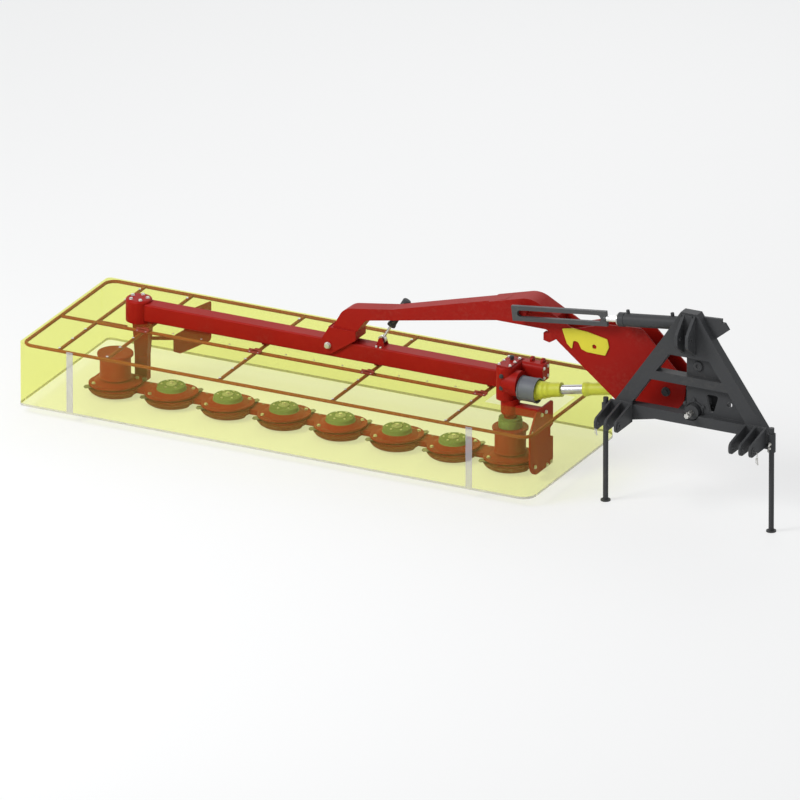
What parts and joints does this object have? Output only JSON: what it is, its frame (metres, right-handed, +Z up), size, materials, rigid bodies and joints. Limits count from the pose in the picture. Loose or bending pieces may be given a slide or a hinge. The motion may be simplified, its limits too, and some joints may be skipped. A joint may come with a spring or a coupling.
{
  "type": "rear-mounted disc mower",
  "caption": "Three-point mounted disc mower with a gooseneck arm, centre-pivoted beam, see-through guard box and parking stands.",
  "frame": {"origin": "on the ground under the middle of the bounding box", "axes": "+X away from the cutter bar towards the far stand, +Y away from the tractor, +Z up"},
  "size_m": [5.167, 1.252, 1.372],
  "materials": {
    "red_paint": "satin",
    "dark_paint": "satin",
    "bright_steel": "brushed",
    "blade_steel": "worn",
    "yellow_paint": "satin",
    "guard_yellow": "satin",
    "guard_grey": "satin",
    "cover_film": "clear"
  },
  "bodies": {
    "headstock": {"headstock_frame": "dark_paint", "lower_link_ears": "dark_paint", "top_link_ears": "dark_paint", "stand_sleeves": "dark_paint", "arm_bracket": "dark_paint", "headstock_gearbox": "dark_paint", "input_shaft": "bright_steel", "cylinder_pin": "bright_steel"},
    "stand_left": {"stand_left": "dark_paint"},
    "stand_right": {"stand_right": "dark_paint"},
    "arm": {"swing_arm": "red_paint", "tilt_pin": "bright_steel", "latch_hook": "yellow_paint", "damper_pin": "bright_steel"},
    "mower": {"carrier_beam": "red_paint", "outer_leg": "red_paint", "side_plate": "red_paint", "bevel_gearbox": "red_paint", "guard_bell": "guard_grey", "cutter_bar": "red_paint", "skid_shoes": "blade_steel", "cover_top_rear": "cover_film", "cover_rear": "cover_film", "cover_outer_end": "cover_film", "cover_inner_end": "cover_film", "long_rails": "red_paint", "cross_rails": "red_paint", "end_rails": "red_paint", "rear_hinges": "bright_steel", "cover_pads": "red_paint", "swath_board": "red_paint"},
    "flap": {"cover_front": "cover_film", "cover_top_front": "cover_film", "front_rail": "red_paint", "front_cross_rails": "red_paint", "flap_hinges": "bright_steel"},
    "cylinder": {"lift_barrel": "dark_paint"},
    "cylinder_rod": {"lift_rod_link": "dark_paint"},
    "damper": {"damper_barrel": "dark_paint"},
    "damper_rod": {"damper_rod": "bright_steel"},
    "drive": {"drive_shaft": "guard_yellow"},
    "rotor_1": {"disc_1": "red_paint", "knives_1": "blade_steel", "drum_outer": "red_paint"},
    "rotor_2": {"disc_2": "red_paint", "knives_2": "blade_steel"},
    "rotor_3": {"disc_3": "red_paint", "knives_3": "blade_steel"},
    "rotor_4": {"disc_4": "red_paint", "knives_4": "blade_steel"},
    "rotor_5": {"disc_5": "red_paint", "knives_5": "blade_steel"},
    "rotor_6": {"disc_6": "red_paint", "knives_6": "blade_steel"},
    "rotor_7": {"disc_7": "red_paint", "knives_7": "blade_steel"},
    "rotor_8": {"disc_8": "red_paint", "knives_8": "blade_steel", "drum_inner": "red_paint"}
  },
  "joints": [
    {"name": "arm_lift", "type": "hinge", "parent": "headstock", "child": "arm", "pos_m": [1.7215, -0.009, 0.73], "axis": [0, 1, 0], "range_deg": [-5, 90]},
    {"name": "bar_tilt", "type": "hinge", "parent": "arm", "child": "mower", "pos_m": [-0.6935, 0.057, 0.588], "axis": [0, 1, 0], "range_deg": [-6, 6]},
    {"name": "flap_open", "type": "hinge", "parent": "mower", "child": "flap", "pos_m": [-0.7285, -0.0895, 0.496], "axis": [-1, 0, 0], "range_deg": [0, 75]},
    {"name": "stand_left_raise", "type": "slide", "parent": "headstock", "child": "stand_left", "axis": [0, 0, 1], "range_m": [0, 0.3]},
    {"name": "stand_right_raise", "type": "slide", "parent": "headstock", "child": "stand_right", "axis": [0, 0, 1], "range_m": [0, 0.3]},
    {"name": "cylinder_swing", "type": "hinge", "parent": "headstock", "child": "cylinder", "pos_m": [1.8815, -0.148, 1.244], "axis": [0, 1, 0], "range_deg": [-8, 121]},
    {"name": "cylinder_stroke", "type": "slide", "parent": "cylinder", "child": "cylinder_rod", "axis": [-0.993, 0, -0.1177], "range_m": [-0.08, 0.01]},
    {"name": "damper_swing", "type": "hinge", "parent": "arm", "child": "damper", "pos_m": [-0.2235, 0.139, 0.897], "axis": [0, 1, 0], "range_deg": [-5, 5]},
    {"name": "damper_stroke", "type": "slide", "parent": "damper", "child": "damper_rod", "axis": [-0.4637, -0.2283, -0.8561], "range_m": [-0.031, 0.031]},
    {"name": "drive_swing", "type": "hinge", "parent": "mower", "child": "drive", "pos_m": [0.7815, -0.043, 0.555], "axis": [0, 1, 0], "range_deg": [-15.5, 15.5]},
    {"name": "rotor_1_spin", "type": "hinge", "parent": "mower", "child": "rotor_1", "pos_m": [-2.1915, -0.043, 0.09], "axis": [0, 0, 1], "continuous": true},
    {"name": "rotor_2_spin", "type": "hinge", "parent": "mower", "child": "rotor_2", "pos_m": [-1.7915, -0.043, 0.09], "axis": [0, 0, 1], "continuous": true},
    {"name": "rotor_3_spin", "type": "hinge", "parent": "mower", "child": "rotor_3", "pos_m": [-1.3915, -0.043, 0.09], "axis": [0, 0, 1], "continuous": true},
    {"name": "rotor_4_spin", "type": "hinge", "parent": "mower", "child": "rotor_4", "pos_m": [-0.9915, -0.043, 0.09], "axis": [0, 0, 1], "continuous": true},
    {"name": "rotor_5_spin", "type": "hinge", "parent": "mower", "child": "rotor_5", "pos_m": [-0.5915, -0.043, 0.09], "axis": [0, 0, 1], "continuous": true},
    {"name": "rotor_6_spin", "type": "hinge", "parent": "mower", "child": "rotor_6", "pos_m": [-0.1915, -0.043, 0.09], "axis": [0, 0, 1], "continuous": true},
    {"name": "rotor_7_spin", "type": "hinge", "parent": "mower", "child": "rotor_7", "pos_m": [0.2085, -0.043, 0.09], "axis": [0, 0, 1], "continuous": true},
    {"name": "rotor_8_spin", "type": "hinge", "parent": "mower", "child": "rotor_8", "pos_m": [0.6085, -0.043, 0.09], "axis": [0, 0, 1], "continuous": true}
  ],
  "couplings": [
    {"joint": "cylinder_swing", "follows": "arm_lift", "ratio": 1.334},
    {"joint": "cylinder_stroke", "follows": "arm_lift", "m_per_rad": -0.0477},
    {"joint": "damper_swing", "follows": "bar_tilt", "ratio": -0.79},
    {"joint": "damper_stroke", "follows": "bar_tilt", "m_per_rad": 0.262},
    {"joint": "drive_swing", "follows": "bar_tilt", "ratio": -2.485},
    {"joint": "rotor_2_spin", "follows": "rotor_1_spin", "ratio": -1},
    {"joint": "rotor_3_spin", "follows": "rotor_1_spin", "ratio": 1},
    {"joint": "rotor_4_spin", "follows": "rotor_1_spin", "ratio": -1},
    {"joint": "rotor_5_spin", "follows": "rotor_1_spin", "ratio": 1},
    {"joint": "rotor_6_spin", "follows": "rotor_1_spin", "ratio": -1},
    {"joint": "rotor_7_spin", "follows": "rotor_1_spin", "ratio": 1},
    {"joint": "rotor_8_spin", "follows": "rotor_1_spin", "ratio": -1}
  ]
}
